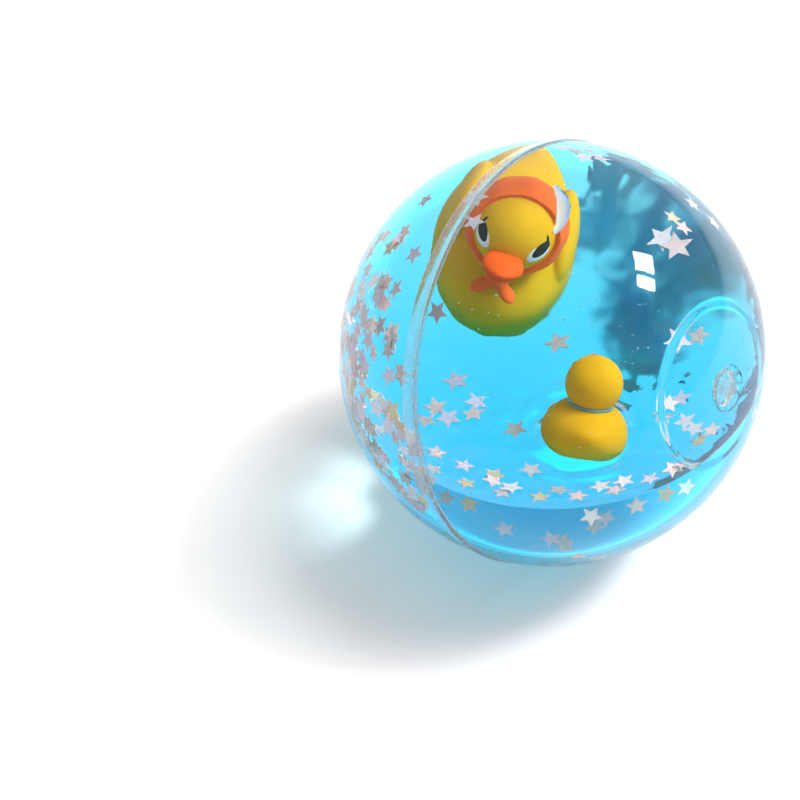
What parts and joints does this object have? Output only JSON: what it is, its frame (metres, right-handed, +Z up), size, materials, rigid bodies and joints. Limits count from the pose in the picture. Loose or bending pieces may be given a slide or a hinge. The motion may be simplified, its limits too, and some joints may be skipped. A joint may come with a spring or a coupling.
{
  "type": "liquid-filled toy ball",
  "caption": "Clear plastic toy ball, half blue water and half clear oil, with a mother duck and a duckling afloat and star glitter; the contents stay level as the shell rolls",
  "frame": {"origin": "centre of the ball", "axes": "+Z is up, at right angles to the level of the liquids; -Y faces the viewer of the picture and +X is the viewer's right"},
  "size_m": [0.0649, 0.065, 0.0649],
  "materials": {
    "clear_shell": "gloss",
    "seam_bead": "satin",
    "filler_plug": "satin",
    "clear_oil": "gloss",
    "blue_water": "gloss",
    "mother_yellow": "satin",
    "duckling_yellow": "satin",
    "scarf_orange": "satin",
    "beak_orange": "satin",
    "collar_teal": "satin",
    "eye_black": "gloss",
    "eye_white": "gloss",
    "star_foil": "gloss"
  },
  "bodies": {
    "liquid": {"blue_water": "blue_water", "clear_oil": "clear_oil", "star_rim_01": "star_foil", "star_rim_02": "star_foil", "star_rim_03": "star_foil", "star_rim_04": "star_foil", "star_rim_05": "star_foil", "star_rim_06": "star_foil", "star_rim_07": "star_foil", "star_rim_08": "star_foil", "star_rim_09": "star_foil", "star_rim_10": "star_foil", "star_rim_11": "star_foil", "star_rim_12": "star_foil", "star_rim_13": "star_foil", "star_rim_14": "star_foil", "star_inner_01": "star_foil", "star_inner_02": "star_foil", "star_inner_03": "star_foil", "star_inner_04": "star_foil", "star_inner_05": "star_foil", "star_inner_06": "star_foil", "star_inner_07": "star_foil", "star_inner_08": "star_foil", "star_inner_09": "star_foil"},
    "shell": {"shell_half_plain": "clear_shell", "shell_half_filler": "clear_shell", "seam_bead": "seam_bead", "filler_plug": "filler_plug", "star_left_01": "star_foil", "star_left_02": "star_foil", "star_left_03": "star_foil", "star_left_04": "star_foil", "star_left_05": "star_foil", "star_left_06": "star_foil", "star_left_07": "star_foil", "star_left_08": "star_foil", "star_left_09": "star_foil", "star_low_01": "star_foil", "star_low_02": "star_foil", "star_low_03": "star_foil", "star_low_04": "star_foil", "star_low_05": "star_foil", "star_high_01": "star_foil", "star_high_02": "star_foil"},
    "mother_duck": {"mother_body": "mother_yellow", "mother_headscarf": "scarf_orange", "mother_scarf_knot": "scarf_orange", "mother_beak": "beak_orange", "mother_eye_left": "eye_black", "mother_eye_right": "eye_black", "mother_eye_white_left": "eye_white", "mother_eye_white_right": "eye_white"},
    "duckling": {"duckling_body": "duckling_yellow", "duckling_collar": "collar_teal", "duckling_beak": "beak_orange", "duckling_eye_left": "eye_black", "duckling_eye_right": "eye_black"}
  },
  "joints": [
    {"name": "shell_roll", "type": "hinge", "parent": "liquid", "child": "shell", "pos_m": [0, 0, 0], "axis": [0, 1, 0], "continuous": true},
    {"name": "mother_duck_turn", "type": "hinge", "parent": "liquid", "child": "mother_duck", "pos_m": [-0.00459, 0.01195, 0.0014], "axis": [0, 0, 1], "continuous": true},
    {"name": "duckling_turn", "type": "hinge", "parent": "liquid", "child": "duckling", "pos_m": [0.0039, -0.01407, 0.0014], "axis": [0, 0, 1], "continuous": true}
  ]
}
